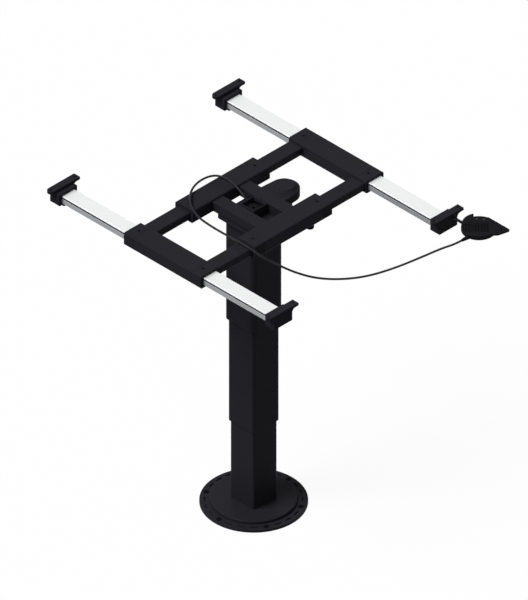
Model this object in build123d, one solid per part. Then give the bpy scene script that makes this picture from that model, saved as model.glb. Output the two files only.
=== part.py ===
from build123d import *
from math import cos, pi, radians, sin, tan
import os

os.makedirs("parts", exist_ok=True)

# Driving dimensions, in millimetres. The origin is on the floor, on the column's axis,
# and the column stands at its full height.
stroke = 187  # of each of the two moving stages
# Clearances
running = 0.3  # between pieces that slide past each other
fit = 0.1  # between a shaft and its bush, or a plug and its hole
play = 0.3  # left at the end of a piece that must turn freely

# Floor flange: a ring that is screwed down, with a raised disc on it
ring_d = 218
ring_t = 5.5
ring_margin = 21.5  # from the disc's edge to the ring's
disc_t = 6.5
disc_edge = 1.4
hole_margin = 11  # from the holes' circle to the ring's edge
floor_holes = 6
floor_hole_d = 6.5
floor_sink_d = 12.5
floor_first_angle = 30
slots_per_gap = 3
slot_length = 13
slot_width = 3.2
slot_depth = 3
spigot_height = 30
spigot_play = 2  # round the outer spindle's foot
disc_d = ring_d - 2 * ring_margin
floor_pcd = ring_d - 2 * hole_margin

# Column tubes: square steel, each stage slides over the one below
least_corner = 0.4  # left inside a tube, however thick its wall
lower_w = 67
lower_corner = 4.2
lower_wall = 2.5
lower_bare = 189  # seen between the disc and the middle tube when raised
lower_overlap = 85
middle_w = 74
middle_corner = 6.4
middle_wall = 2.5
middle_bare = 250
middle_overlap = 49
upper_w = 85
upper_corner = 11.8
upper_wall = 4
upper_length = 248
glide_length = 38
glide_inset = 4

# Spindles and nuts
end_plate_t = 8
inner_screw_d = 16
inner_journal_d = 12
inner_screw_below_plate = 14
outer_screw_d = 26
outer_screw_bore = 19
outer_screw_below_top = 24
screw_collar_d = 32
screw_collar_t = 7.4
cup_d = 46
cup_floor_t = 8
keyway_w = 3.6
keyway_depth = 2.2
key_w = 3.0
nut_d = 30
nut_flange_d = 42
nut_flange_t = 4

# Column head
head_plate_x = 100
head_plate_y = 112
head_plate_t = 6
head_plate_corner = 8
bar_w = 31
bar_h = 24
bar_corner = 3
bar_wall = 3
bar_gap = 44
bar_drop = 4  # from the frame's top plane to the bars' top
bearing_d = 32
bearing_flange_d = 44
bearing_flange_t = 3
turret_w = 38  # the open square tube round the spindle's top
turret_wall = 2
turret_corner = 2.4
crank_hex = 7  # for the hand crank that turns the spindle without power
crank_depth = 8

# Belt case, belt and motor
motor_y = 86.6
case_r = 31.5
case_bar_half = 34  # half the case's width where it meets the rear bar
case_h = 21
case_edge = 2.5
tunnel_h = 18  # under the rear bar's top wall
case_wall = 3
case_floor_t = 3
lid_t = 2.5
lid_edge = 0.8
small_pulley_r = 10
large_pulley_r = 14
pulley_h = 9
pulley_flange_t = 1
belt_t = 1.6
motor_d = 32
motor_length = 70
motor_round = 2
motor_shaft_d = 8
motor_shaft_play = 1  # round it in the case's floor
motor_end_t = 8
motor_end_inset = 2
motor_end_edge = 1.5
motor_ribs = 10
motor_rib_d = 3
# the hood's outline, as radius and height above the case's lid
hood_outline = ((29.5, 0), (29, 1), (26.5, 1.8), (25.6, 1.8), (25.6, 2.4), (26, 2.4), (22, 5.2), (21.8, 6.4))
hood_cap_r = 21.2
notch_play = 2.5  # over the belt case's tunnel
notch_side = 1  # at its sides
motor_screw_head_d = 5
motor_screw_head_h = 2
motor_screw_r = 9
motor_screws = 3
motor_hex_key = 2.5

# Sliding frame: four sleeves, two steel tubes and two aluminium slides of one section
sleeve_w = 50
sleeve_h = 30
sleeve_corner = 3.5
sleeve_wall = 3
sleeve_length = 218
cap_length = 27
cap_spigot = 16
cap_screw_d = 8
cap_screw_inset = 17.5
seam = 0.5  # the narrow groove seen between a cap and its sleeve
cap_screw_h = 5
screw_edge = 0.5
hex_key = 4
hex_depth = 3
slide_w = 36
slide_h = 18
steel_corner = 3
steel_wall = 2
alu_corner = 2
alu_wall = 2.6
groove_h = 3.8
groove_depth = 1.4
groove_drop = 2.4
rail_x = 88  # column axis to the tubes along Y
rail_y = 233.4  # column axis to the slides along X
slide_half = 291

# End blocks with ears for the table top
block_w = 50
block_t = 26.6
block_h = 27.5
block_round = 2.5
block_foot_round = 1.5
block_spigot = 22
lip_length = 6
ear_t = 17
ear_rise = 7
ear_low_reach = 38.5
ear_high_reach = 43
ear_hole_d = 5
ear_hole_inset = 7
ear_gusset_r = 9
ear_thickness = 6
slide_screw_d = 3
slide_screw_head_d = 5.5
slide_screw_head_h = 1.8

# Lock knob under the right sleeve
knob_y = 71
knob_d = 17
knob_h = 15
knob_lobes = 6
knob_lobe_d = 3.2
knob_lobe_depth = 1
knob_edge = 2
lock_stud_d = 6
lock_boss_d = 14
lock_boss_h = 9

# Cable gland, which leans out of the turret's side
gland_d = 6.2
gland_nut_d = 7
gland_length = 9
gland_y = 2
gland_drop = 4.5  # from the turret's top
gland_way = Vector(-0.83, 0, 0.558)

# Hand control, which hangs under the table top's edge
end_face = slide_half + block_t
puck_reach = 67.4  # from the end block's face to the puck's centre
puck_shift = 18.6  # from the slide's middle line to the puck's centre
puck_x = end_face + puck_reach
puck_y = rail_y + puck_shift
puck_d = 72
puck_base_t = 4
puck_cover_t = 6
puck_edge = 1.5
puck_flutes = 15
flute_d = 4.4
flute_arc = 150
tab_reach = 53  # from the puck's centre to the tab's tip
tab_far = 36.5  # and to its far edge
tab_x0 = puck_x - 7
tab_x1 = puck_x + tab_reach
tab_y0 = puck_y + 11
tab_y1 = puck_y + tab_far
tab_corner = 4
tab_hole_d = 5
tab_hole_inset = 12
button_r = 13
button_gap = 2
button_travel = 1.5
button_skin = 1
button_edge = 0.6
strap_w = 7
strap_t = 1.6
strap_y = rail_y + 14.6
strap_end_x = end_face + 44
strap_corner = 2.5
strap_foot = 9
strap_screw_d = 3
strap_screw_head_d = 5.6
strap_screw_head_h = 1.6
strap_screw_depth = 4
strap_screw_inset = 5
strap_screw_up = 5

# Cable
cable_d = 4.5
cable_sag = 83  # how far its bow hangs below the frame's top plane
relief_root = (puck_x + 6, puck_y - 29, 1.6)  # its height is counted from the frame's top plane
relief_tip = (puck_x + 1, puck_y - 49, -2.4)
relief_root_d = 6
relief_large_d = 8.4
relief_small_d = 6
relief_collar = 6  # from the root to the puck's rim
gland_lead = 15  # straight cable out of the gland
relief_lead = 18  # and out of the strain relief

# Levels, worked up from the floor
disc_top = ring_t + disc_t
middle_low = disc_top + lower_bare
lower_high = middle_low + lower_overlap
upper_low = middle_low + middle_bare
middle_high = upper_low + middle_overlap
plate_low = upper_low + upper_length
plate_high = plate_low + head_plate_t
bar_high = plate_high + bar_h
frame_top = bar_high + bar_drop
slide_mid = frame_top - sleeve_h / 2
case_high = plate_high + case_h
tunnel_high = plate_high + tunnel_h
ear_top = frame_top + ear_rise
puck_mid = ear_top - puck_base_t
puck_low = puck_mid - puck_cover_t

nodes = {}


def keep(name, *shapes):
    found = [s for shape in shapes for s in shape.solids()]
    nodes[name] = found[0] if len(found) == 1 else Compound(children=found)


def block(x0, x1, y0, y1, z0, z1):
    return Pos((x0 + x1) / 2, (y0 + y1) / 2, (z0 + z1) / 2) * Box(x1 - x0, y1 - y0, z1 - z0)


def rod(diameter, z0, z1, x=0, y=0):
    return Pos(x, y, (z0 + z1) / 2) * Cylinder(diameter / 2, z1 - z0)


def pipe(outer, inner, z0, z1, x=0, y=0):
    return rod(outer, z0, z1, x, y) - rod(inner, z0 - 1, z1 + 1, x, y)


def prism(width, depth, corner, z0, z1):
    return Pos(0, 0, z0) * extrude(RectangleRounded(width, depth, corner), z1 - z0)


def hollow(width, corner, wall):
    """A square tube's section; the inside corner follows the wall."""
    inside = RectangleRounded(width - 2 * wall, width - 2 * wall, max(corner - wall, least_corner))
    return RectangleRounded(width, width, corner) - inside


def square_tube(width, corner, wall, z0, z1):
    return Pos(0, 0, z0) * extrude(hollow(width, corner, wall), z1 - z0)


def along(axis, section, start, length, side, height):
    """Carries a section, drawn as width and height, along X or Y from a start."""
    if axis == "X":
        plane = Plane(origin=(start, side, height), x_dir=(0, 1, 0), z_dir=(1, 0, 0))
    else:
        plane = Plane(origin=(side, start, height), x_dir=(-1, 0, 0), z_dir=(0, 1, 0))
    return extrude(plane * section, length)


def hex_hole(across, z0, z1, x=0, y=0):
    """What a hexagon key fills, from its width across the flats."""
    return Pos(x, y, z0) * extrude(RegularPolygon(across / 2, 6, major_radius=False), z1 - z0)


# Floor flange


def arc_slot(angle):
    half = slot_length / 2 / (floor_pcd / 2) * 180 / pi
    line = CenterArc((0, 0), floor_pcd / 2, angle - half, 2 * half)
    return Pos(0, 0, ring_t - slot_depth) * extrude(SlotArc(line, slot_width), ring_t)


def floor_ring():
    ring = rod(ring_d, 0, ring_t)
    ring = chamfer(ring.edges().group_by(Axis.Z)[-1], disc_edge / 2)
    step = 360 / floor_holes
    for i in range(floor_holes):
        hole_angle = floor_first_angle + i * step
        x, y = (floor_pcd / 2 * f(radians(hole_angle)) for f in (cos, sin))
        ring -= rod(floor_hole_d, -1, ring_t + 1, x, y)
        sink = (floor_sink_d - floor_hole_d) / 2
        ring -= Pos(x, y, ring_t - sink / 2) * Cone(floor_hole_d / 2, floor_sink_d / 2, sink)
        for j in range(slots_per_gap):
            ring -= arc_slot(hole_angle + (j + 1) * step / (slots_per_gap + 1))
    return ring


def base_disc():
    disc = rod(disc_d, ring_t, disc_top)
    return chamfer(disc.edges().group_by(Axis.Z)[-1], disc_edge)


def base_spigot():
    """The square block on the disc that the lower tube is welded round."""
    inside = lower_w - 2 * lower_wall
    spigot = prism(inside, inside, lower_corner, disc_top, disc_top + spigot_height)
    top = spigot.edges().group_by(Axis.Z)[-1]
    bore_d = outer_screw_d + 2 * spigot_play
    return chamfer(top, disc_edge) - rod(bore_d, disc_top - 1, disc_top + spigot_height + 1)


keep("floor_ring", floor_ring())
keep("base_disc", base_disc())
keep("base_spigot", base_spigot())


# Column tubes with their glide collars and end plates


def glide(width, corner, thick, z0, z1):
    return Pos(0, 0, z0) * extrude(hollow(width, corner, thick), z1 - z0)


def end_plate(tube_w, tube_wall, z_high, hole_d):
    inside = tube_w - 2 * tube_wall
    plate = prism(inside, inside, lower_corner + 1, z_high - end_plate_t, z_high)
    return plate - rod(hole_d, z_high - end_plate_t - 1, z_high + 1)


def nut(z_seat, bore_d):
    """A flanged nut: its body fills the end plate and its flange lies on the plate."""
    body = rod(nut_d, z_seat - end_plate_t, z_seat)
    flange = rod(nut_flange_d, z_seat, z_seat + nut_flange_t)
    bored = body + flange
    return bored - rod(bore_d, z_seat - end_plate_t - 1, z_seat + nut_flange_t + 1)


middle_inside = middle_w - 2 * middle_wall
upper_inside = upper_w - 2 * upper_wall
middle_gap = (middle_inside - lower_w) / 2
upper_gap = (upper_inside - middle_w) / 2

keep("lower_tube", square_tube(lower_w, lower_corner, lower_wall, disc_top, lower_high))
keep("middle_tube", square_tube(middle_w, middle_corner, middle_wall, middle_low, middle_high))
keep("upper_tube", square_tube(upper_w, upper_corner, upper_wall, upper_low, plate_low))

# a collar lines the mouth of each outer tube, and another sits round the top of each inner one
mouth_low = middle_low + glide_inset
middle_mouth_glide = glide(
    middle_inside, middle_corner - middle_wall, middle_gap - running, mouth_low, mouth_low + glide_length
)
upper_mouth_low = upper_low + glide_inset
# the upper mouth collar stays below the collar on the middle tube's top
upper_glide_length = (middle_overlap - 2 * glide_inset) / 2
keep(
    "upper_mouth_glide",
    glide(
        upper_inside,
        upper_corner - upper_wall,
        upper_gap - running,
        upper_mouth_low,
        upper_mouth_low + upper_glide_length,
    ),
)


def top_glide(width, corner, gap, z_high, length):
    """A collar round the top of an inner tube, in thin flat walls."""
    outside = width + 2 * (gap - running)
    ring = RectangleRounded(outside, outside, corner + gap - running)
    ring -= RectangleRounded(width, width, corner)
    return Pos(0, 0, z_high - length) * extrude(ring, length)


keep("lower_top_glide", top_glide(lower_w, lower_corner, middle_gap, lower_high, glide_length))
middle_top_glide = top_glide(middle_w, middle_corner, upper_gap, middle_high, upper_glide_length)
keep("middle_glides", middle_mouth_glide, middle_top_glide)

lower_plate_high = lower_high - nut_flange_t
middle_plate_high = middle_high
middle_plate_low = middle_plate_high - end_plate_t
keep("lower_end_plate", end_plate(lower_w, lower_wall, lower_plate_high, nut_d))
keep("middle_end_plate", end_plate(middle_w, middle_wall, middle_plate_high, nut_d))
keep("lower_nut", nut(lower_plate_high, outer_screw_d + 2 * fit))
keep("middle_nut", nut(middle_plate_high, inner_screw_d + 2 * fit))


# Spindles: the inner one turns in the head and drives the hollow outer one by a key


def keyed(diameter, width, depth, z0, z1):
    """What a key or keyway fills, from a radius outwards along +X."""
    r = diameter / 2
    return block(r - depth, r + 1, -width / 2, width / 2, z0, z1)


cup_high = middle_plate_low
inner_low = cup_high - inner_screw_below_plate
bearing_low = plate_low - bearing_flange_t
inner_shoulder = bearing_low - play
pulley_low = plate_high + case_floor_t + play
pulley_high = pulley_low + pulley_h + 2 * pulley_flange_t


def inner_screw():
    screw = rod(inner_screw_d, inner_low, inner_shoulder)
    screw -= keyed(inner_screw_d, keyway_w, keyway_depth, inner_low - 1, cup_high + stroke)
    screw += rod(inner_journal_d, inner_shoulder, pulley_high)
    return screw - hex_hole(crank_hex, pulley_high - crank_depth, pulley_high + 1)


collar_low = cup_high - play - screw_collar_t
cup_step = collar_low - play
cup_low = cup_step - cup_floor_t
outer_low = lower_plate_high - end_plate_t - outer_screw_below_top


def outer_screw():
    screw = rod(outer_screw_d, outer_low, collar_low) + rod(screw_collar_d, collar_low, cup_high - play)
    return screw - rod(outer_screw_bore, outer_low - 1, cup_high)


def key_bush():
    """Turns the outer spindle with the inner one; its key slides in the inner one's keyway."""
    bore_r = inner_screw_d / 2 + running
    bush = pipe(outer_screw_bore, 2 * bore_r, collar_low, cup_high - play)
    key = block(
        inner_screw_d / 2 - keyway_depth + running,
        bore_r + (outer_screw_bore / 2 - bore_r) / 2,
        -key_w / 2,
        key_w / 2,
        collar_low,
        cup_high - play,
    )
    return bush + key


def bearing_cup():
    cup = rod(cup_d, cup_low, cup_high) - rod(screw_collar_d + 2 * fit, cup_step, cup_high + 1)
    return cup - rod(outer_screw_d + 2 * fit, cup_low - 1, cup_high)


def pulley(radius, bore_d, x, y):
    """A flanged belt pulley; the belt runs between its two rims."""
    rim = radius + belt_t
    whole = rod(2 * radius, pulley_low, pulley_high, x, y)
    whole += rod(2 * rim, pulley_low, pulley_low + pulley_flange_t, x, y)
    whole += rod(2 * rim, pulley_high - pulley_flange_t, pulley_high, x, y)
    return whole - rod(bore_d, pulley_low - 1, pulley_high + 1, x, y)


keep("inner_screw", inner_screw())
keep("screw_pulley", pulley(large_pulley_r, inner_journal_d, 0, 0))
keep("outer_screw", outer_screw())
keep("key_bush", key_bush())
keep("bearing_cup", bearing_cup())


# Column head


def head_plate():
    plate = prism(head_plate_x, head_plate_y, head_plate_corner, plate_low, plate_high)
    return plate - rod(bearing_d, plate_low - 1, plate_high + 1)


def screw_bearing():
    whole = rod(bearing_d, plate_low, plate_high) + rod(bearing_flange_d, bearing_low, plate_low)
    return whole - rod(inner_journal_d + 2 * fit, bearing_low - 1, plate_high + 1)


bar_section = RectangleRounded(bar_w, bar_h, bar_corner)
bar_section -= RectangleRounded(bar_w - 2 * bar_wall, bar_h - 2 * bar_wall, bar_corner / 2)
bar_half = rail_x - sleeve_w / 2
bar_mid_y = (bar_gap + bar_w) / 2
bar_mid_z = plate_high + bar_h / 2


def cross_bar(side):
    bar = along("X", bar_section, -bar_half, 2 * bar_half, side * bar_mid_y, bar_mid_z)
    if side > 0:
        # the belt case's tunnel passes through an opening in the rear bar
        half = turret_w / 2 + notch_side
        bar -= block(-half, half, 0, motor_y, plate_high - 1, tunnel_high + notch_play)
    return bar


keep("head_plate", head_plate())
keep("screw_bearing", screw_bearing())
keep("front_cross_bar", cross_bar(-1))
keep("rear_cross_bar", cross_bar(1))

turret_inside = turret_w / 2 - turret_wall
gland_root = Vector(-turret_w / 2, gland_y, bar_high - gland_drop)


def gland_bar(diameter, start, end):
    """A round bar on the gland's axis, counted from the turret's wall outwards."""
    seat = Plane(origin=gland_root + gland_way * start, z_dir=gland_way)
    return seat * extrude(Circle(diameter / 2), end - start)


def crank_turret():
    """An open square tube round the spindle's top, where the hand crank goes in."""
    tube = square_tube(turret_w, turret_corner, turret_wall, plate_high, bar_high)
    belt_low = plate_high + case_floor_t
    belt_high = tunnel_high - lid_t
    tube -= block(-turret_inside, turret_inside, 0, turret_w, belt_low, belt_high)
    return tube - gland_bar(cable_d, -turret_w / 4, turret_w / 4)


def gland():
    """A stepped collar that grips the cable; it is cut flush with the turret's wall."""
    collar = gland_bar(gland_d, -gland_d, gland_length)
    nut_part = gland_bar(gland_nut_d, -gland_d, gland_length / 2)
    whole = collar + nut_part
    return whole - block(-turret_w / 2, 0, -turret_w, turret_w, plate_high, frame_top + turret_w)


keep("crank_turret", crank_turret())
keep("cable_gland", gland())


# Belt case and motor

case_front = bar_gap / 2 + bar_w + play


def case_outline(inset):
    """Seen from above: round over the motor, and as wide as a straight edge at the rear bar."""
    half = case_bar_half - inset
    bar_side = Line((-half, case_front + inset), (half, case_front + inset))
    motor_end = Pos(0, motor_y) * Circle(case_r - inset)
    return make_hull(bar_side.edges() + motor_end.edges())


def band_outline(extra):
    column_end = Circle(large_pulley_r + extra)
    motor_end = Pos(0, motor_y) * Circle(small_pulley_r + extra)
    return make_hull(column_end.edges() + motor_end.edges())


lid_low = case_high - lid_t


def tunnel(side, end, z0, z1):
    """A straight run from the turret's wall into the case, under the rear bar's top wall."""
    return block(-side, side, turret_w / 2, end, z0, z1)


def belt_case():
    """The tray under the motor's pulley, with a tunnel for the belt to the turret."""
    tray = Pos(0, 0, plate_high) * extrude(case_outline(0), lid_low - plate_high)
    tray = chamfer(tray.edges().group_by(Axis.Z)[0], case_edge)
    inside = case_front + case_wall
    case = tray + tunnel(turret_w / 2, inside, plate_high, tunnel_high)
    floor_high = plate_high + case_floor_t
    case -= Pos(0, 0, floor_high) * extrude(case_outline(case_wall), case_h)
    case -= tunnel(turret_w / 2 - case_wall, motor_y, floor_high, tunnel_high - lid_t)
    return case - rod(motor_shaft_d + 2 * motor_shaft_play, plate_high - 1, case_high, 0, motor_y)


def belt():
    low = pulley_low + pulley_flange_t + play
    high = pulley_high - pulley_flange_t - play
    loop = band_outline(running + belt_t) - band_outline(running)
    return Pos(0, 0, low) * extrude(loop, high - low)


def lid():
    plate = Pos(0, 0, lid_low) * extrude(case_outline(0), lid_t)
    return chamfer(plate.edges().group_by(Axis.Z)[-1], lid_edge)


def motor_hood():
    """The round cover over the motor's end: stepped rings under a flat cap."""
    steps = [(0, case_high)]
    steps += [(r, case_high + rise) for r, rise in hood_outline]
    steps += [(hood_cap_r, frame_top), (0, frame_top)]
    outline = make_face(Polyline(*steps, close=True))
    return Pos(0, motor_y, 0) * revolve(Plane.XZ * outline, Axis.Z)


motor_low = plate_high - motor_length


def motor_can():
    can = rod(motor_d, motor_low, plate_high, 0, motor_y)
    can -= rod(motor_shaft_d + 2 * fit, plate_high - motor_end_t, plate_high + 1, 0, motor_y)
    return fillet(can.edges().group_by(Axis.Z)[0], motor_round)


def motor_end_cap():
    """The bell at the motor's lower end, with cooling flutes round its side."""
    r = motor_d / 2 - motor_end_inset
    low = motor_low - motor_end_t
    cap = rod(2 * r, low, motor_low, 0, motor_y)
    cap = chamfer(cap.edges().group_by(Axis.Z)[0], motor_end_edge)
    for i in range(motor_ribs):
        angle = radians(i * 360 / motor_ribs)
        x, y = r * cos(angle), motor_y + r * sin(angle)
        cap -= rod(motor_rib_d, low - 1, motor_low - motor_end_inset, x, y)
    return cap


def motor_screw(i):
    angle = 2 * pi * i / motor_screws
    x, y = motor_screw_r * cos(angle), motor_y + motor_screw_r * sin(angle)
    seat = motor_low - motor_end_t
    low = seat - motor_screw_head_h
    head = rod(motor_screw_head_d, low, seat, x, y)
    head = chamfer(head.edges().group_by(Axis.Z)[0], screw_edge)
    return head - hex_hole(motor_hex_key, low - 1, low + motor_screw_head_h / 2, x, y)


keep("motor_screws", *[motor_screw(i) for i in range(motor_screws)])
keep("belt_case", belt_case())
keep("belt_case_lid", lid())
keep("drive_belt", belt())
keep("motor_hood", motor_hood())
keep("motor_can", motor_can())
keep("motor_end_cap", motor_end_cap())
shaft_low = plate_high - motor_end_t + play
shaft = rod(motor_shaft_d, shaft_low, pulley_high, 0, motor_y)
keep("motor_shaft", shaft)
keep("motor_pulley", pulley(small_pulley_r, motor_shaft_d, 0, motor_y))


# Sleeves of the sliding frame

cap_at = sleeve_length / 2 - cap_length


def sleeve(axis, side, height):
    section = RectangleRounded(sleeve_w, sleeve_h, sleeve_corner)
    section -= RectangleRounded(sleeve_w - 2 * sleeve_wall, sleeve_h - 2 * sleeve_wall, 1)
    return along(axis, section, -cap_at, 2 * cap_at, side, height)


def sleeve_cap(axis, side, end, height):
    """An end cap: a collar as large as the sleeve, a narrower neck that makes the seam, and a
    spigot inside the sleeve, all bored for the slide."""
    inner = RectangleRounded(slide_w + 2 * running, slide_h + 2 * running, steel_corner)
    collar = RectangleRounded(sleeve_w, sleeve_h, sleeve_corner) - inner
    neck = RectangleRounded(sleeve_w - 2 * seam, sleeve_h - 2 * seam, sleeve_corner - seam) - inner
    spigot_w = sleeve_w - 2 * sleeve_wall - 2 * fit
    spigot_h = sleeve_h - 2 * sleeve_wall - 2 * fit
    spigot = RectangleRounded(spigot_w, spigot_h, 1) - inner
    cap = along(axis, collar, cap_at + seam, cap_length - seam, 0, 0)
    cap += along(axis, neck, cap_at, seam, 0, 0)
    cap += along(axis, spigot, cap_at - cap_spigot, cap_spigot, 0, 0)
    if end < 0:
        cap = mirror(cap, Plane.YZ if axis == "X" else Plane.XZ)
    cap = Pos(0, side, height) * cap if axis == "X" else Pos(side, 0, height) * cap
    x, y = screw_place(axis, side, end)
    top = height + sleeve_h / 2
    return cap - rod(cap_screw_d + 2 * fit, top - cap_screw_h, top + 1, x, y)


def screw_place(axis, side, end):
    along_axis = end * (sleeve_length / 2 - cap_screw_inset)
    return (along_axis, side) if axis == "X" else (side, along_axis)


def cap_screw(axis, side, end, height):
    x, y = screw_place(axis, side, end)
    top = height + sleeve_h / 2
    screw = rod(cap_screw_d, top - cap_screw_h, top, x, y)
    screw = chamfer(screw.edges().group_by(Axis.Z)[-1], screw_edge)
    return screw - hex_hole(hex_key, top - hex_depth, top + 1, x, y)


boss_high = frame_top - sleeve_h
boss_low = boss_high - lock_boss_h


def lock_boss():
    """Welded under the right sleeve, for the lock knob's stud."""
    return pipe(lock_boss_d, lock_stud_d + 2 * fit, boss_low, boss_high, rail_x, knob_y)


def lock_hole(z0, z1):
    return rod(lock_stud_d + 2 * fit, z0, z1, rail_x, knob_y)


# the lock stud reaches the right tube through the sleeve's lower wall and its cap's spigot
stud_hole = lock_hole(frame_top - sleeve_h - 1, slide_mid)
keep("left_sleeve", sleeve("Y", -rail_x, slide_mid))
keep("right_sleeve", sleeve("Y", rail_x, slide_mid) + lock_boss() - stud_hole)
keep("front_sleeve", sleeve("X", -rail_y, slide_mid))
keep("rear_sleeve", sleeve("X", rail_y, slide_mid))
head_caps = [sleeve_cap("Y", s * rail_x, e, slide_mid) - stud_hole for s in (-1, 1) for e in (-1, 1)]
keep("head_sleeve_caps", *head_caps)
keep("frame_sleeve_caps", *[sleeve_cap("X", s * rail_y, e, slide_mid) for s in (-1, 1) for e in (-1, 1)])
keep("head_cap_screws", *[cap_screw("Y", s * rail_x, e, slide_mid) for s in (-1, 1) for e in (-1, 1)])
keep("frame_cap_screws", *[cap_screw("X", s * rail_y, e, slide_mid) for s in (-1, 1) for e in (-1, 1)])


# Steel tubes along Y, welded between the front and rear sleeves

steel_section = RectangleRounded(slide_w, slide_h, steel_corner)
steel_section -= RectangleRounded(slide_w - 2 * steel_wall, slide_h - 2 * steel_wall, steel_corner / 2)
steel_half = rail_y - sleeve_w / 2
keep("left_tube", along("Y", steel_section, -steel_half, 2 * steel_half, -rail_x, slide_mid))
keep("right_tube", along("Y", steel_section, -steel_half, 2 * steel_half, rail_x, slide_mid))


# Aluminium slides along X


def slide_section():
    """The extruded profile: a rounded tube with a shallow groove high on each side."""
    section = RectangleRounded(slide_w, slide_h, alu_corner)
    section -= RectangleRounded(slide_w - 2 * alu_wall, slide_h - 2 * alu_wall, alu_corner / 2)
    groove_mid = slide_h / 2 - groove_drop - groove_h / 2
    for side in (-1, 1):
        section -= Pos(side * slide_w / 2, groove_mid) * Rectangle(2 * groove_depth, groove_h)
    return section


def side_outline(low):
    """Seen along Y, the block's outer lower corner is rounded."""
    corner = CenterArc((block_t - block_round, low + block_round), block_round, 270, 90)
    lines = [
        Line((0, low), (block_t - block_round, low)),
        corner,
        Line((block_t, low + block_round), (block_t, frame_top)),
        Line((block_t, frame_top), (0, frame_top)),
        Line((0, frame_top), (0, low)),
    ]
    return make_face(lines)


def ear_outline():
    """Seen along X: a bar with an ear each side, each on a hollow-curved gusset."""
    half = block_w / 2
    ear_low = ear_top - ear_thickness
    bar_mid = ((ear_high_reach - ear_low_reach) / 2, ear_top - ear_thickness / 2)
    outline = Pos(*bar_mid) * Rectangle(ear_high_reach + ear_low_reach, ear_thickness)
    outline += Pos(0, ear_low - ear_gusset_r / 2) * Rectangle(block_w, ear_gusset_r)
    for side in (-1, 1):
        middle = side * (half + ear_gusset_r / 2)
        web = Pos(middle, ear_low - ear_gusset_r / 2) * Rectangle(ear_gusset_r, ear_gusset_r)
        hollow_at = Pos(side * (half + ear_gusset_r), ear_low - ear_gusset_r)
        outline += web - hollow_at * Circle(ear_gusset_r)
    return outline


def ear_plan():
    """Seen from above, the low end of the bar is a half round and the high end is square."""
    plan = Pos(0, (ear_high_reach - ear_low_reach + ear_t / 2) / 2) * Rectangle(
        ear_t, ear_high_reach + ear_low_reach - ear_t / 2
    )
    return plan + Pos(0, ear_t / 2 - ear_low_reach) * Circle(ear_t / 2)


ear_spots = (ear_hole_inset - ear_low_reach, ear_high_reach - ear_hole_inset)
slide_low = slide_mid - slide_h / 2
slide_screw_inset = lip_length / 2


def end_block(side, end):
    """A moulded end: a block rounded underneath, a lip and a spigot for the slide, and ears."""
    low = frame_top - block_h
    across = fillet(Rectangle(block_w, block_h).vertices().group_by(Axis.Y)[0], block_foot_round)
    whole = along("X", across, 0, block_t, 0, frame_top - block_h / 2)
    side_view = extrude(Plane.XZ * side_outline(low), block_w, both=True)
    whole = whole & side_view
    ears = along("X", ear_outline(), block_t - ear_t, ear_t, 0, 0)
    plan = Pos(block_t - ear_t / 2, 0, low) * extrude(ear_plan(), block_h + ear_rise)
    whole += ears & plan
    spigot = Rectangle(slide_w - 2 * (alu_wall + running), slide_h - 2 * (alu_wall + running))
    whole += along("X", spigot, -block_spigot, block_spigot + 1, 0, slide_mid)
    whole += block(-lip_length, 0, -slide_w / 2, slide_w / 2, low, slide_low)
    for y in ear_spots:
        whole -= rod(ear_hole_d, low, ear_top + 1, block_t - ear_t / 2, y)
    whole -= rod(slide_screw_d, low - 1, slide_mid, -slide_screw_inset, 0)
    placed = Pos(slide_half, side, 0) * whole
    if end < 0:
        return mirror(placed, Plane.YZ)
    return placed - strap_screw_rods(strap_screw_d) if side > 0 else placed


def slide(side):
    bar = along("X", slide_section(), -slide_half, 2 * slide_half, side, slide_mid)
    for end in (-1, 1):
        x = end * (slide_half - slide_screw_inset)
        bar -= rod(slide_screw_d, slide_low - 1, slide_mid, x, side)
    return bar


def slide_screw(side, end):
    """Goes up through the lip and the slide's lower wall into the block's spigot."""
    x = end * (slide_half - slide_screw_inset)
    low = frame_top - block_h
    return rod(slide_screw_d, low - slide_screw_head_h, slide_mid, x, side) + rod(
        slide_screw_head_d, low - slide_screw_head_h, low, x, side
    )


# Lock knob, which clamps the right tube in its sleeve

knob_high = boss_low - play


def lock_knob():
    """A moulded star knob on its stud."""
    knob = rod(knob_d, knob_high - knob_h, knob_high, rail_x, knob_y)
    knob = fillet(knob.edges().group_by(Axis.Z)[0], knob_edge)
    for i in range(knob_lobes):
        angle = radians(i * 360 / knob_lobes)
        r = (knob_d + knob_lobe_d) / 2 - knob_lobe_depth
        x, y = rail_x + r * cos(angle), knob_y + r * sin(angle)
        knob -= rod(knob_lobe_d, knob_high - knob_h - 1, knob_high + 1, x, y)
    return knob - rod(lock_stud_d, knob_high - knob_h / 2, knob_high + 1, rail_x, knob_y)


keep("lock_knob", lock_knob())
keep("lock_stud", rod(lock_stud_d, knob_high - knob_h / 2, slide_low - play, rail_x, knob_y))


# Hand control: a flat puck with a screw tab, which goes under the table top


def relief_point(place):
    x, y, rise = place
    return Vector(x, y, frame_top + rise)


relief_way = (relief_point(relief_tip) - relief_point(relief_root)).normalized()


def relief():
    """The strain relief: a collar held between the puck's halves, and a taper down to the cable."""
    root = Plane(origin=relief_point(relief_root), z_dir=relief_way)
    length = (relief_point(relief_tip) - relief_point(relief_root)).length
    taper = length - relief_collar
    collar = root * Pos(0, 0, relief_collar / 2) * Cylinder(relief_root_d / 2, relief_collar)
    cone = root * Pos(0, 0, relief_collar + taper / 2)
    return collar + cone * Cone(relief_large_d / 2, relief_small_d / 2, taper)


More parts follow.
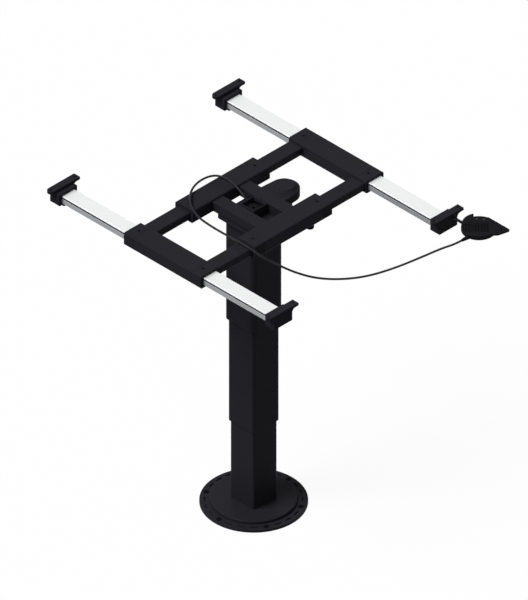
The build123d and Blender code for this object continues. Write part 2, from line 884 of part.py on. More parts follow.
def puck_base():
    """The flat half that lies against the table top, with its screw tab."""
    base = rod(puck_d, puck_mid, ear_top, puck_x, puck_y)
    tab = block(tab_x0, tab_x1, tab_y0, tab_y1, puck_mid, ear_top)
    tab = fillet(tab.edges().filter_by(Axis.Z).group_by(Axis.X)[-1], tab_corner)
    base += tab
    hole_x, hole_y = tab_x1 - tab_hole_inset, (tab_y0 + tab_y1) / 2
    return base - rod(tab_hole_d, puck_mid - 1, ear_top + 1, hole_x, hole_y) - relief()


def puck_cover():
    """The lower half, fluted round the far side, with a window for the two buttons."""
    cover = rod(puck_d, puck_low, puck_mid, puck_x, puck_y)
    cover = chamfer(cover.edges().group_by(Axis.Z)[0], puck_edge)
    for i in range(puck_flutes):
        angle = radians((i / (puck_flutes - 1) - 0.5) * flute_arc)
        r = puck_d / 2 + flute_d / 4
        x, y = puck_x + r * cos(angle), puck_y + r * sin(angle)
        cover -= rod(flute_d, puck_low - 1, puck_mid - 1, x, y)
    window = Pos(puck_x, puck_y, puck_low - 1) * extrude(Circle(button_r + running), puck_cover_t)
    return cover - window - relief() - strap_screw_rods(strap_screw_d)


def button(side):
    """Half of a round pad: up on one side of the gap, down on the other."""
    low = puck_low - button_travel
    high = puck_mid - button_skin - button_travel - play
    pad = rod(2 * button_r, low, high, puck_x, puck_y)
    half = block(
        puck_x - button_r,
        puck_x + button_r,
        puck_y + button_gap / 2,
        puck_y + button_r,
        low,
        high,
    )
    whole = pad & half
    whole = chamfer(whole.edges().group_by(Axis.Z)[0], button_edge)
    return whole if side > 0 else Pos(0, 2 * puck_y, 0) * mirror(whole, Plane.XZ)


def strap():
    """An angle strap: a foot on the end block's outer face and a leg under the puck."""
    low = puck_low - strap_t
    y0, y1 = strap_y - strap_w / 2, strap_y + strap_w / 2
    leg = block(end_face, strap_end_x, y0, y1, low, puck_low)
    foot = block(end_face, end_face + strap_t, y0, y1, low, puck_low + strap_foot)
    whole = leg + foot
    whole = fillet(whole.edges().filter_by(Axis.Z).group_by(Axis.X)[-1], strap_corner)
    return whole - strap_screw_rods(strap_screw_d)


leg_screw_x = strap_end_x - strap_screw_inset
foot_screw_z = puck_low + strap_screw_up


def strap_screw_rods(diameter):
    """What the two screws' shanks fill: one up into the puck, one into the end block."""
    up = rod(diameter, puck_low - strap_t, puck_low + strap_screw_depth, leg_screw_x, strap_y)
    length = strap_screw_depth + strap_t
    across = along("X", Circle(diameter / 2), end_face - strap_screw_depth, length, strap_y, foot_screw_z)
    return up + across


def strap_screws():
    face = end_face + strap_t
    low = puck_low - strap_t
    up = rod(strap_screw_head_d, low - strap_screw_head_h, low, leg_screw_x, strap_y)
    head = Circle(strap_screw_head_d / 2)
    across = along("X", head, face, strap_screw_head_h, strap_y, foot_screw_z)
    return strap_screw_rods(strap_screw_d) + up + across


# the rear right end block takes the strap's foot screw
for name, side in (("front", -rail_y), ("rear", rail_y)):
    keep(f"{name}_slide", slide(side))
    keep(f"{name}_end_blocks", end_block(side, -1), end_block(side, 1))
    keep(f"{name}_slide_screws", slide_screw(side, -1), slide_screw(side, 1))


# Cable: its points lie in the order of the run, from the gland over the left sleeve, round
# the front of the head, and in a hanging bow to the hand control

gland_tip = gland_root + gland_way * gland_length
head_route = [
    tuple(gland_tip),
    tuple(gland_tip + gland_way * gland_lead),
    (-61, 7, frame_top + 8),
    (-90, 12, frame_top + 8),
    (-116, 4, frame_top + 7),
    (-126, -24, frame_top + 4),
    (-113, -64, frame_top + 7),
    (-84, -99, frame_top + 7),
    (-46, -118, frame_top + 3),
    (2, -121, frame_top + 1),
    (52, -121, frame_top + 1.5),
    (98, -121, frame_top + 3),
]
relief_end = relief_point(relief_tip)
bow_route = [
    (135, -113, frame_top - 10),
    (152, -86, frame_top - 34),
    (170, -55, frame_top - 59.5),
    (196, -22, frame_top - 77.5),
    (228, 14, frame_top - cable_sag),
    (262, 56, frame_top - cable_sag + 3),
    (297, 100, frame_top - 64),
    (333, 139, frame_top - 39),
    (364, 169, frame_top - 15.5),
    tuple(relief_end + relief_way * relief_lead),
    tuple(relief_end),
]


def arc_radii(points):
    """0.45 of the shorter run at each corner, divided by the tangent of half the turn."""
    ways = [Vector(*b) - Vector(*a) for a, b in zip(points, points[1:])]
    radii = []
    for before, after in zip(ways, ways[1:]):
        half_turn = radians(before.get_angle(after)) / 2
        radii.append(0.45 * min(before.length, after.length) / tan(half_turn))
    return radii


def midpoint(a, b):
    return tuple((p + q) / 2 for p, q in zip(a, b))


def cable_tube(points):
    """A round cable along straight runs joined by tangent arcs."""
    radii = arc_radii(points)
    path = FilletPolyline(*points, radius=radii)
    start = Plane(origin=path @ 0, z_dir=path % 0)
    tube = sweep(start * Circle(cable_d / 2), path=path)
    want = pi * (cable_d / 2) ** 2 * path.length
    print("cable radii", [round(r, 1) for r in radii])
    print("cable length", round(path.length, 1), "volume", round(tube.volume), "of", round(want))
    return tube


joint_point = midpoint(head_route[-1], bow_route[0])
keep("cable_over_head", cable_tube([*head_route, joint_point]))
keep("cable_bow", cable_tube([joint_point, *bow_route]))


keep("strain_relief", relief())
keep("puck_base", puck_base())
keep("puck_cover", puck_cover())
keep("up_button", button(1))
keep("down_button", button(-1))
keep("handset_strap", strap())
keep("strap_screws", strap_screws())


for name, shape in nodes.items():
    shape.label = name
    export_step(shape, f"parts/{name}.step")
print(len(nodes), "pieces written; frame top at", frame_top)
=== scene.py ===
import bpy
import numpy as np
from mathutils import Matrix, Vector


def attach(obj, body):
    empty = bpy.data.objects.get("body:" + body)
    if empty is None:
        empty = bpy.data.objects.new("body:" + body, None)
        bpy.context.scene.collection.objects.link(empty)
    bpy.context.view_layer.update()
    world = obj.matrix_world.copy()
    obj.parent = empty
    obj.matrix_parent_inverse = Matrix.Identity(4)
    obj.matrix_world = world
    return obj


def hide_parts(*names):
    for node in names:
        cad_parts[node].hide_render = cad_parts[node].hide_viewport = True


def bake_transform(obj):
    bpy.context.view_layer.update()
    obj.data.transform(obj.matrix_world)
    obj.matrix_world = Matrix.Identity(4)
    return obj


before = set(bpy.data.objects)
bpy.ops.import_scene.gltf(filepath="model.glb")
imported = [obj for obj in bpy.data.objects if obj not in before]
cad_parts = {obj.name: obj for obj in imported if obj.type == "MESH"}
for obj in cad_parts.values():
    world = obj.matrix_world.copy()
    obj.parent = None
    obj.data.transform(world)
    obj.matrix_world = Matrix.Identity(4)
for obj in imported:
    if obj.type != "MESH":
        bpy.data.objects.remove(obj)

scene = bpy.context.scene
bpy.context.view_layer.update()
print("frame loaded with", len(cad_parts), "nodes")

# Camera: parallel projection from the front right corner, as in an isometric drawing
cameraView = {
    "seenHeight": 1.2,  # metres from the picture's bottom to its top
    "right": (0.7071, 0.7071, 0.0),
    "up": (-0.4082, 0.4082, 0.8165),
    "shiftRight": 0.0206,  # the picture's middle, measured from the column's foot
    "shiftUp": 0.4026,
    "distance": 3.0,
    "clipEnd": 20.0,
}


def makeCamera():
    right = Vector(cameraView["right"]).normalized()
    up = Vector(cameraView["up"]).normalized()
    back = right.cross(up).normalized()
    data = bpy.data.cameras.new("isoCamera")
    data.type = "ORTHO"
    data.ortho_scale = cameraView["seenHeight"]
    data.clip_end = cameraView["clipEnd"]
    cam = bpy.data.objects.new("isoCamera", data)
    scene.collection.objects.link(cam)
    place = right * cameraView["shiftRight"] + up * cameraView["shiftUp"] + back * cameraView["distance"]
    turn = Matrix((right, up, back)).transposed().to_4x4()
    cam.matrix_world = Matrix.Translation(place) @ turn
    scene.camera = cam


makeCamera()
print("camera placed")


# Nodes and colours for the materials


def toLinear(code):
    # sRGB hex to linear: each channel, as a share of 255, goes through the sRGB curve
    share = np.array([int(code[i:i + 2], 16) for i in (1, 3, 5)]) / 255.0
    linear = np.where(share <= 0.04045, share / 12.92, ((share + 0.055) / 1.055) ** 2.4)
    return (*linear.tolist(), 1.0)


def addNode(tree, kind, settings=(), inputs=()):
    # one node; settings are its own properties, inputs are values or other nodes' sockets
    node = tree.nodes.new(kind)
    for key, value in dict(settings).items():
        setattr(node, key, value)
    for key, value in dict(inputs).items():
        if isinstance(value, bpy.types.NodeSocket):
            tree.links.new(value, node.inputs[key])
        else:
            node.inputs[key].default_value = value
    return node


def newMaterial(name):
    material = bpy.data.materials.new(name)
    material.use_nodes = True
    tree = material.node_tree
    tree.nodes.clear()
    return material, tree


def tonedColour(tree, coords, spec):
    # slow drift between the two near shades, in patches of the size given
    patch = addNode(
        tree, "ShaderNodeTexNoise", inputs={"Vector": coords, "Scale": 1 / spec["patchSize"], "Detail": 3.0}
    )
    return addNode(
        tree, "ShaderNodeMix", {"data_type": "RGBA"},
        {0: patch.outputs["Fac"], 6: toLinear(spec["dark"]), 7: toLinear(spec["light"])},
    ).outputs[2]


def finishMaterial(tree, spec, colour, dullness, height):
    # one pattern goes into a narrow band of roughness and one into a shallow bump, over softened edges
    low, high = spec["roughness"]
    band = addNode(tree, "ShaderNodeMapRange", inputs={"Value": dullness, "To Min": low, "To Max": high})
    edge = addNode(tree, "ShaderNodeBevel", {"samples": 4}, {"Radius": spec["edgeRadius"]})
    bump = addNode(tree, "ShaderNodeBump", inputs={
        "Height": height, "Distance": spec["bumpDepth"], "Strength": spec["bumpStrength"],
        "Normal": edge.outputs[0],
    })
    shader = addNode(tree, "ShaderNodeBsdfPrincipled", inputs={
        "Base Color": colour, "Roughness": band.outputs[0], "Normal": bump.outputs[0],
        "Metallic": spec["metallic"], "Specular IOR Level": spec["specular"],
    })
    addNode(tree, "ShaderNodeOutputMaterial", inputs={"Surface": shader.outputs[0]})


# Black powder coat on steel: baked-on powder flows to a satin skin with a fine orange peel,
# which the eye sees as a soft break-up of the sheen
powderCoat = {
    "dark": "#222126",
    "light": "#26252b",
    "patchSize": 0.07,
    "peelSize": 0.0014,  # real peel is about 1.2 mm from crest to crest
    "dustSize": 0.02,
    "bumpDepth": 0.00003,
    "bumpStrength": 0.6,
    "edgeRadius": 0.0006,
    "metallic": 0.0,
    "specular": 0.03,
    "roughness": (0.44, 0.54),
}


def makePowderCoat(name, spec):
    material, tree = newMaterial(name)
    coords = addNode(tree, "ShaderNodeTexCoord").outputs["Object"]
    colour = tonedColour(tree, coords, spec)
    peel = addNode(
        tree, "ShaderNodeTexNoise", inputs={"Vector": coords, "Scale": 1 / spec["peelSize"], "Detail": 1.5}
    )
    dust = addNode(
        tree, "ShaderNodeTexNoise", inputs={"Vector": coords, "Scale": 1 / spec["dustSize"], "Detail": 4.0}
    )
    finishMaterial(tree, spec, colour, dust.outputs["Fac"], peel.outputs["Fac"])
    return material


# Moulded black nylon: glass-filled, from a spark-eroded mould, so a tight even grain and a dull sheen
mouldedNylon = {
    "dark": "#232328",
    "light": "#27272d",
    "patchSize": 0.03,
    "grainSize": 0.0007,  # real grain is 0.3 mm, drawn coarser so that it shows
    "bumpDepth": 0.00004,
    "bumpStrength": 0.5,
    "edgeRadius": 0.0009,
    "metallic": 0.0,
    "specular": 0.03,
    "roughness": (0.55, 0.68),
}


def makeMoulded(name, spec):
    material, tree = newMaterial(name)
    coords = addNode(tree, "ShaderNodeTexCoord").outputs["Object"]
    colour = tonedColour(tree, coords, spec)
    grain = addNode(tree, "ShaderNodeTexVoronoi", inputs={"Vector": coords, "Scale": 1 / spec["grainSize"]})
    finishMaterial(tree, spec, colour, grain.outputs["Distance"], grain.outputs["Distance"])
    return material


# Soft-touch charcoal ABS on the hand control: smoother than the end blocks, and clearly darker
gripPlastic = dict(mouldedNylon, dark="#101013", light="#16161a", bumpDepth=0.00002, roughness=(0.45, 0.55))

# Clear anodised aluminium extrusion: faint draw lines along the slide, a milky oxide over the metal,
# and painted shade that makes the sides facing along Y greyer than the top
anodised = {
    "dark": "#eeefef",
    "light": "#f6f6f7",
    # the grey of the painted shade on the sides
    "paintedSideShade": "#a8aaad",
    "paintedShadeFacing": (0.55, 0.95),  # how far sideways a surface faces where the painted shade starts and is full
    "lineWidth": 0.0005,  # die lines are finer, drawn coarser so that they show
    "lineLength": 0.5,
    "bumpDepth": 0.00001,
    "bumpStrength": 0.4,
    "edgeRadius": 0.0005,
    "metallic": 0.35,
    "specular": 0.5,
    "roughness": (0.34, 0.46),
}


def makeLinedMetal(name, spec, alongAxis):
    # lines drawn out along one axis, in the shade, the roughness and the bump
    material, tree = newMaterial(name)
    coords = addNode(tree, "ShaderNodeTexCoord").outputs["Object"]
    stretch = [1 / spec["lineWidth"]] * 3
    stretch[alongAxis] = 1 / spec["lineLength"]
    stretched = addNode(tree, "ShaderNodeMapping", inputs={"Vector": coords, "Scale": stretch}).outputs[0]
    lines = addNode(tree, "ShaderNodeTexNoise", inputs={"Vector": stretched, "Scale": 1.0, "Detail": 2.0})
    colour = addNode(
        tree, "ShaderNodeMix", {"data_type": "RGBA"},
        {0: lines.outputs["Fac"], 6: toLinear(spec["dark"]), 7: toLinear(spec["light"])},
    ).outputs[2]
    if spec["paintedSideShade"]:
        # the share of painted shade grey is how far the surface faces sideways, made steeper
        facing = addNode(tree, "ShaderNodeTexCoord").outputs["Normal"]
        sideways = addNode(tree, "ShaderNodeSeparateXYZ", inputs={0: facing}).outputs["Y"]
        size = addNode(tree, "ShaderNodeMath", {"operation": "ABSOLUTE"}, {0: sideways}).outputs[0]
        low, high = spec["paintedShadeFacing"]
        share = addNode(tree, "ShaderNodeMapRange", inputs={"Value": size, "From Min": low, "From Max": high})
        colour = addNode(
            tree, "ShaderNodeMix", {"data_type": "RGBA"},
            {0: share.outputs[0], 6: colour, 7: toLinear(spec["paintedSideShade"])},
        ).outputs[2]
    finishMaterial(tree, spec, colour, lines.outputs["Fac"], lines.outputs["Fac"])
    return material


# Turned steel, zinc plated: pale blue-grey metal with rings left by the lathe
turnedSteel = dict(
    anodised, dark="#8e9196", light="#a9acb0", paintedSideShade=None, lineWidth=0.0006, metallic=1.0,
    roughness=(0.28, 0.42),
)
# Turned bronze nuts: warm metal, darker in the tool marks
turnedBronze = dict(turnedSteel, dark="#8f6d3c", light="#b58e55", roughness=(0.3, 0.45))
# Black-oxided socket screws: nearly black and dull, as oiled oxide looks in a recess
oxidedScrew = dict(
    turnedSteel, dark="#121214", light="#19191b", metallic=0.1, specular=0.05, roughness=(0.4, 0.5),
)
# Zinc-flake cover screws: a dull mid grey, with hardly a shine
zincFlake = dict(
    turnedSteel, dark="#3c3d40", light="#4a4b4e", metallic=0.2, specular=0.1, roughness=(0.5, 0.6),
)
# Natural acetal glides: milky white, slightly translucent to the eye, machined smooth
naturalAcetal = dict(mouldedNylon, dark="#d2cfc4", light="#dedbd2", specular=0.4, roughness=(0.35, 0.45))
# Belt rubber: dull neoprene with a fabric-like grain
beltNeoprene = dict(mouldedNylon, dark="#08080a", light="#0d0d0f", roughness=(0.7, 0.85))
# Cable jacket: extruded PVC, smooth with a soft streaky sheen
jacketPvc = dict(
    mouldedNylon, dark="#1b1b1e", light="#222226", bumpDepth=0.00001, specular=0.14, roughness=(0.42, 0.52),
)

finishes = {
    "black_coat": makePowderCoat("satinPowderCoat", powderCoat),
    "black_plastic": makeMoulded("sparkGrainNylon", mouldedNylon),
    "charcoal_plastic": makeMoulded("charcoalGrip", gripPlastic),
    "aluminium_slide": makeLinedMetal("clearAnodised", anodised, 0),
    "plain_steel": makeLinedMetal("turnedSteel", turnedSteel, 0),
    "natural_plastic": makeMoulded("naturalAcetal", naturalAcetal),
    "bronze": makeLinedMetal("turnedBronze", turnedBronze, 0),
    "belt_rubber": makeMoulded("beltNeoprene", beltNeoprene),
    "cable_jacket": makeMoulded("jacketPvc", jacketPvc),
}
blackOxide = makeLinedMetal("blackOxideSteel", oxidedScrew, 2)
dullZinc = makeLinedMetal("zincFlakeSteel", zincFlake, 2)
blackened = ["screw_pulley", "inner_screw"]  # and the nodes whose names end in screws
for name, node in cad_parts.items():
    slotName = node.material_slots[0].material.name.split(".")[0]
    dark = name.endswith("screws") or name in blackened
    node.material_slots[0].material = blackOxide if dark else finishes[slotName]
print("materials made:", len(finishes) + 2)


# Surfaces from grids of points


def ringFaces(rows, cols):
    # points in rows of closed rings: quads join ring to ring, and a flat face closes each end
    index = np.arange(rows * cols).reshape(rows, cols)
    beside = np.roll(index, -1, axis=1)
    quads = np.stack([index[:-1], beside[:-1], beside[1:], index[1:]], axis=-1).reshape(-1, 4)
    return quads.tolist() + [index[0][::-1].tolist(), index[-1].tolist()]


def addPiece(name, points, faces, slotName):
    # a mesh of those points and faces, in the finish and the slot of that name
    mesh = bpy.data.meshes.new(name)
    mesh.from_pydata(points.reshape(-1, 3).tolist(), [], faces)
    mesh.materials.append(finishes[slotName])
    piece = bpy.data.objects.new(name, mesh)
    scene.collection.objects.link(piece)
    return piece


def shellFromGrid(name, grid, slotName):
    # each row of the grid is one ring; smooth all over but for the two end faces
    faces = ringFaces(*grid.shape[:2])
    piece = addPiece(name, grid, faces, slotName)
    piece.data.polygons.foreach_set("use_smooth", np.arange(len(faces)) < len(faces) - 2)
    return piece


def unit(vectors):
    return vectors / np.linalg.norm(vectors, axis=-1, keepdims=True)


def ringsAlong(path, way, radii, count):
    # a circle of each radius round each point of the path, square to the way there:
    # centre + radius * (cos a * side + sin a * upward)
    side = unit(np.cross(way, (0.0, 0.0, 1.0)))
    upward = np.cross(way, side)
    angle = np.linspace(0, 2 * np.pi, count, endpoint=False)[None, :, None]
    circle = np.cos(angle) * side[:, None] + np.sin(angle) * upward[:, None]
    return path[:, None] + radii[:, None, None] * circle


# Cable: its route, in metres, from the gland over the left sleeve, round the head, and in a bow
# to the hand control
cable = {
    "diameter": 0.0045,
    "sides": 16,
    "lowestX": 0.228,  # where the bow hangs lowest, and the two stretches meet
    "stepsPerPoint": 14,
    "route": [
        (-0.0265, 0.002, 0.7295), (-0.0389, 0.002, 0.7379), (-0.061, 0.007, 0.741), (-0.090, 0.012, 0.741),
        (-0.116, 0.004, 0.740), (-0.126, -0.024, 0.737), (-0.113, -0.064, 0.740), (-0.084, -0.099, 0.740),
        (-0.046, -0.118, 0.736), (0.002, -0.121, 0.734), (0.052, -0.121, 0.7345), (0.098, -0.121, 0.736),
        (0.135, -0.113, 0.723), (0.152, -0.086, 0.699), (0.170, -0.055, 0.6735), (0.196, -0.022, 0.6555),
        (0.228, 0.014, 0.650), (0.262, 0.056, 0.653), (0.297, 0.100, 0.669), (0.333, 0.139, 0.694),
        (0.364, 0.169, 0.7175), (0.3817, 0.1859, 0.7272), (0.386, 0.203, 0.7306),
    ],
}


def routePoints(route):
    # the smooth line of a NURBS spline with the route's points as its control points
    data = bpy.data.curves.new("routeLine", "CURVE")
    data.dimensions = "3D"
    data.resolution_u = cable["stepsPerPoint"]
    spline = data.splines.new("NURBS")
    spline.points.add(len(route) - 1)
    spline.points.foreach_set("co", np.c_[np.array(route), np.ones(len(route))].ravel())
    spline.order_u = 3
    spline.use_endpoint_u = True
    holder = bpy.data.objects.new("routeLine", data)
    scene.collection.objects.link(holder)
    line = bpy.data.meshes.new_from_object(holder)
    found = np.empty(len(line.vertices) * 3)
    line.vertices.foreach_get("co", found)
    bpy.data.objects.remove(holder)
    return found.reshape(-1, 3)


def lengthOf(path):
    return float(np.linalg.norm(np.diff(path, axis=0), axis=1).sum())


def makeCable():
    # one smooth tube in two stretches, which meet where the bow is lowest
    path = routePoints(cable["route"])
    cut = int(np.argmin(np.abs(path[:, 0] - cable["lowestX"])))
    radii = np.full(len(path), cable["diameter"] / 2)
    rings = ringsAlong(path, unit(np.gradient(path, axis=0)), radii, cable["sides"])
    firstLine, lastLine = path[:cut + 1], path[cut:]
    first = shellFromGrid("cableOverHead", rings[:cut + 1], "cable_jacket")
    last = shellFromGrid("cableBow", rings[cut:], "cable_jacket")
    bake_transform(first)
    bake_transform(last)
    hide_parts("cable_over_head")
    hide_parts("cable_bow")
    print("cable lengths", round(lengthOf(firstLine), 4), round(lengthOf(lastLine), 4))
    return first, firstLine, last, lastLine


cableFirst, firstLine, cableLast, lastLine = makeCable()


# Strain relief: a soft tapered boot with ribs, from the hand control's rim down to the cable
reliefBoot = {
    "root": (0.391, 0.223, 0.7346),
    "tip": (0.386, 0.203, 0.7306),
    "collarRadius": 0.0030,
    "largeRadius": 0.0049,
    "smallRadius": 0.0031,
    "endRadius": 0.0004,
    "collarShare": 0.28,  # of the length, held in the rim
    "ribs": 5,
    "ribDepth": 0.0005,
    "rings": 90,
    "sides": 32,
}


def makeRelief():
    # radius = collar, then a straight taper, less a rounded groove between each two ribs
    boot = reliefBoot
    share = np.r_[0, 0, np.linspace(0.02, 1, boot["rings"]), 1]
    reach = np.array(boot["tip"]) - boot["root"]
    path = np.array(boot["root"]) + share[:, None] * reach
    along = np.clip((share - boot["collarShare"]) / (1 - boot["collarShare"]), 0, 1)
    taper = boot["largeRadius"] + along * (boot["smallRadius"] - boot["largeRadius"])
    groove = boot["ribDepth"] * np.clip(-np.cos(2 * np.pi * along * boot["ribs"]), 0, 1) * (along > 0)
    radii = np.where(share < boot["collarShare"], boot["collarRadius"], taper - groove)
    radii[0] = radii[-1] = boot["endRadius"]
    way = np.tile(unit(reach), (len(path), 1))
    piece = shellFromGrid("strainReliefBoot", ringsAlong(path, way, radii, boot["sides"]), "charcoal_plastic")
    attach(piece, "rear_slider")
    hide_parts("strain_relief")
    return piece


relief = makeRelief()


# Small turned pieces: a profile of radii and heights carried round each place's upright axis


def turned(name, profile, places, slotName, sides):
    # centre + radius * (cos a, sin a) at each height; all the places go into one mesh
    radii, heights = np.array(profile).T
    angle = np.linspace(0, 2 * np.pi, sides, endpoint=False)
    ring = np.stack([
        radii[:, None] * np.cos(angle), radii[:, None] * np.sin(angle), heights[:, None] + 0 * angle,
    ], axis=-1)
    points = np.array(places)[:, None, None, :] + ring[None]
    faces, step = ringFaces(len(profile), sides), len(profile) * sides
    faces = [[corner + k * step for corner in face] for k in range(len(places)) for face in faces]
    return addPiece(name, points, faces, slotName)


# Near-black plugs in the floor ring's screw holes: painted shade, a dark fill standing in for the shade
# inside the holes, seen as dark spots
holeShadePlug = {
    "pitchRadius": 0.098,
    "firstAngle": 30,
    "count": 6,
    "sides": 28,
    # shank, then the head that fills the countersink, then a low dome
    "profile": [
        (0.0006, 0.0004), (0.0031, 0.0004), (0.0031, 0.0026), (0.0056, 0.0050), (0.0057, 0.0053),
        (0.0030, 0.0055), (0.0003, 0.0055),
    ],
}
angles = np.radians(holeShadePlug["firstAngle"] + 360 / holeShadePlug["count"] * np.arange(holeShadePlug["count"]))
holeShadePlugPlaces = holeShadePlug["pitchRadius"] * np.stack([np.cos(angles), np.sin(angles), 0 * angles], axis=-1)
holeShadePlugs = turned("floorHoleShadePlugs", holeShadePlug["profile"], holeShadePlugPlaces, "belt_rubber", holeShadePlug["sides"])
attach(holeShadePlugs, "base")
print("floor plugs made")


# Black strips in the grooves of the aluminium slides, a touch proud of the groove's floor: painted shade that
# darkens the grooves
grooveShadeStrip = {
    "halfLength": 0.2900,
    "railY": 0.2334,
    "floor": 0.0166,  # the groove's floor, from the slide's middle plane
    "proud": 0.0008,
    "low": 0.7210,
    "high": 0.7244,
    "crown": 0.0003,
    "steps": 12,
    "stations": 60,
}


# each strip is painted shade: a black sheet where the groove lies in shade
def makeGrooveShadeStrip(name, railSide, body):
    # across the strip: flat at the floor, and outside floor + proud + crown * (1 - t^2); carried along X
    strip = grooveShadeStrip
    t = np.linspace(-1, 1, strip["steps"])
    middle, half = (strip["low"] + strip["high"]) / 2, (strip["high"] - strip["low"]) / 2
    outer = strip["floor"] + strip["proud"] + strip["crown"] * (1 - t ** 2)
    inner = [[strip["floor"], strip["high"]], [strip["floor"], strip["low"]]]
    across = np.r_[np.c_[outer, middle + half * t], inner]
    along = np.linspace(-strip["halfLength"], strip["halfLength"], strip["stations"])
    for side, label in ((-1, "Near"), (1, "Far")):
        ring = across[::side]
        ringY = railSide * strip["railY"] + side * ring[:, 0]
        grid = np.dstack(np.broadcast_arrays(along[:, None], ringY, ring[:, 1]))
        piece = shellFromGrid(name + label, grid, "black_plastic")
        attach(piece, body)


makeGrooveShadeStrip("frontGrooveShadeStrip", -1, "front_slider")
makeGrooveShadeStrip("rearGrooveShadeStrip", 1, "rear_slider")
print("glide strips made")


# Hand control's upper half: a round plate that runs into its screw tab, with a ribbed field
handPlate = {
    "centre": (0.385, 0.252),
    "radius": 0.036,
    "low": 0.736,
    "high": 0.740,
    "tabSides": [  # of each straight side of the tab: a point on it, and the way it faces
        (0.378, 0.2885, 0.0, 1.0), (0.378, 0.2885, -1.0, 0.0),
        (0.438, 0.2885, 0.9733, -0.2297), (0.4308, 0.2580, 0.559, -0.829),
    ],
    "farEdge": 0.2885,
    "lip": 0.0100,  # how far the rim swells out at the back left, like a snail's shell
    "lipEnd": -0.0108,  # where it steps back to the disc, in the control's own direction to the right
    "lipTurn": (14, 84),  # degrees from the back: where it starts to fade, and where it has gone
    "middle": (0.380, 0.2417),  # a point that sees the whole outline
    "tabCorner": 0.008,  # how far before a corner its rounding starts
    "web": 0.010,  # how far the hollow reaches that joins the tab's near edge to the rim
    "edge": 0.0007,
    "edgeSteps": 6,
    "softness": 0.0006,  # width over which the wall of a groove or a hole falls
    "ribPitch": 0.0064,
    "ribDepth": 0.0026,
    "ribField": (-0.031, 0.019, -0.020, 0.0095),  # right and back, in the control's own directions
    "ribInset": 0.003,  # how far inside the outline the ribs stop
    "ribFall": (0.45, 0.5),  # height on a rib's wave where its wall falls, and over how much of the wave
    "lineDepth": 0.0008,
    "crossLine": (0.0118, 0.0006, 0.009, 0.034),  # to the back and half width, to the right and half length
    "tabLine": (0.2815, 0.0008, 0.4035, 0.023),  # its Y and half width, its X and half length
    "tabHole": (0.426, 0.27575, 0.0026, 0.003),  # X, Y, radius and depth
    "coverScrews": [(0.3628, 0.2680), (0.3745, 0.2766)],
    "coverHole": (0.0031, 0.0013),  # radius and depth
    "outlineReach": (0.01, 0.09),  # distances from the middle between which the outline is looked for
    "halvings": 30,
    "innerRing": 0.004,  # radius of the underside's innermost ring
    "rings": 90,
    "sides": 560,
}


def softStep(value, width):
    # 0 below, 1 above, with a smooth rise of that width between
    t = np.clip(value / width + 0.5, 0, 1)
    return t * t * (3 - 2 * t)


def softLarger(a, b, width):
    # the larger of two values, rounded off where they are nearer than that width
    share = np.clip(width - np.abs(a - b), 0, None) / width
    return np.maximum(a, b) + width * share ** 3 / 6


def ownDirections(x, y):
    # how far a point lies to the right and to the back of the centre; the control stands at 45 degrees
    cx, cy = handPlate["centre"]
    return ((x - cx) + (y - cy)) / np.sqrt(2), ((y - cy) - (x - cx)) / np.sqrt(2)


def plateDistance(x, y):
    # signed distance to the plate's outline: the tab is the largest of the distances to its sides, and the
    # plate the smaller of disc and tab, each rounded off, and cut at the far edge; the disc's radius grows
    # by the lip between the lip's end and the turn where it fades
    right, back = ownDirections(x, y)
    turn = np.degrees(np.arctan2(-right, back))
    fadeStart, fadeEnd = handPlate["lipTurn"]
    fade = 1 - softStep(turn - (fadeStart + fadeEnd) / 2, fadeEnd - fadeStart)
    lip = handPlate["lip"] * fade * (right < handPlate["lipEnd"]) * (back > 0)
    disc = np.hypot(right, back) - handPlate["radius"] - lip
    tab = np.full(np.shape(x), -1.0)
    for px, py, nx, ny in handPlate["tabSides"]:
        tab = softLarger(tab, (x - px) * nx + (y - py) * ny, handPlate["tabCorner"])
    joined = -softLarger(-disc, -tab, handPlate["web"])
    return np.maximum(joined, y - handPlate["farEdge"])


def softBand(value, middle, half):
    # 1 within that half width of the middle, 0 outside
    return softStep(half - np.abs(value - middle), handPlate["softness"])


def plateTop(x, y):
    # the flat top less the ribs' grooves, the line behind them, the long line of the tab and the holes
    plate, soft = handPlate, handPlate["softness"]
    right, back = ownDirections(x, y)
    r0, r1, b0, b1 = plate["ribField"]
    field = softStep(np.minimum(right - r0, r1 - right), soft)
    field = field * softStep(np.minimum(back - b0, b1 - back), soft)
    field = field * softStep(-plate["ribInset"] - plateDistance(x, y), soft)
    fallAt, fallOver = plate["ribFall"]
    waves = 0.5 + 0.5 * np.cos(2 * np.pi * right / plate["ribPitch"])
    ribs = plate["ribDepth"] * field * softStep(waves - fallAt, fallOver)
    crossBack, crossHalf, crossRight, crossLength = plate["crossLine"]
    crossLine = softBand(back, crossBack, crossHalf) * softBand(right, crossRight, crossLength)
    tabY, tabHalf, tabX, tabLength = plate["tabLine"]
    tabLine = softBand(y, tabY, tabHalf) * softBand(x, tabX, tabLength)
    places = [plate["tabHole"]] + [(*place, *plate["coverHole"]) for place in plate["coverScrews"]]
    holes = np.max([
        depth * softStep(radius - np.hypot(x - px, y - py), soft) for px, py, radius, depth in places
    ], axis=0)
    return plate["high"] - ribs - plate["lineDepth"] * crossLine - plate["lineDepth"] * tabLine - holes


